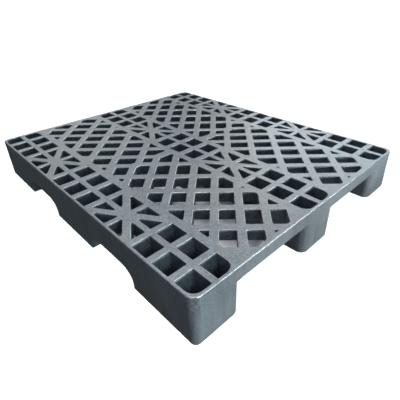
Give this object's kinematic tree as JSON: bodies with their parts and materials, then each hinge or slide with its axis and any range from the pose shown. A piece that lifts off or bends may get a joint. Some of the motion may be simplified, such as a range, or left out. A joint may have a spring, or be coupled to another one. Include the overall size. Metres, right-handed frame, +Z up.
{
  "type": "plastic pallet",
  "caption": "Rectangular grey plastic pallet with an open grid and diagonal-lattice deck on rows of hollow feet, fork entries under the short sides and low arched windows in the long sides.",
  "frame": {"origin": "centre of the footprint on the floor, bottom centre of the bounding box", "axes": "+X along the long side, +Y along the short side, +Z up out of the deck"},
  "size_m": [1.2, 1, 0.15],
  "materials": {
    "deck_plastic": "moulded grey polyethylene with a fine mottled grain",
    "beam_plastic": "moulded grey polyethylene, smooth side walls",
    "foot_plastic": "moulded grey polyethylene, smooth side walls with faint flow marks"
  },
  "bodies": {
    "root": {"front_end_grid_left": "deck_plastic", "front_star_panel_left": "deck_plastic", "front_middle_grid": "deck_plastic", "front_star_panel_right": "deck_plastic", "front_end_grid_right": "deck_plastic", "centre_end_grid_left": "deck_plastic", "centre_star_panel_left": "deck_plastic", "centre_middle_grid": "deck_plastic", "centre_star_panel_right": "deck_plastic", "centre_end_grid_right": "deck_plastic", "rear_end_grid_left": "deck_plastic", "rear_star_panel_left": "deck_plastic", "rear_middle_grid": "deck_plastic", "rear_star_panel_right": "deck_plastic", "rear_end_grid_right": "deck_plastic", "front_lattice_panel": "deck_plastic", "rear_lattice_panel": "deck_plastic", "front_entry_lintel_left": "beam_plastic", "front_entry_lintel_right": "beam_plastic", "rear_entry_lintel_left": "beam_plastic", "rear_entry_lintel_right": "beam_plastic", "front_band_front_arch_left": "beam_plastic", "front_band_front_arch_right": "beam_plastic", "front_band_rear_arch_left": "beam_plastic", "front_band_rear_arch_right": "beam_plastic", "centre_band_front_arch_left": "beam_plastic", "centre_band_front_arch_right": "beam_plastic", "centre_band_rear_arch_left": "beam_plastic", "centre_band_rear_arch_right": "beam_plastic", "rear_band_front_arch_left": "beam_plastic", "rear_band_front_arch_right": "beam_plastic", "rear_band_rear_arch_left": "beam_plastic", "rear_band_rear_arch_right": "beam_plastic", "front_foot_left": "foot_plastic", "front_foot_middle": "foot_plastic", "front_foot_right": "foot_plastic", "centre_foot_left": "foot_plastic", "centre_foot_middle": "foot_plastic", "centre_foot_right": "foot_plastic", "rear_foot_left": "foot_plastic", "rear_foot_middle": "foot_plastic", "rear_foot_right": "foot_plastic"}
  },
  "joints": []
}
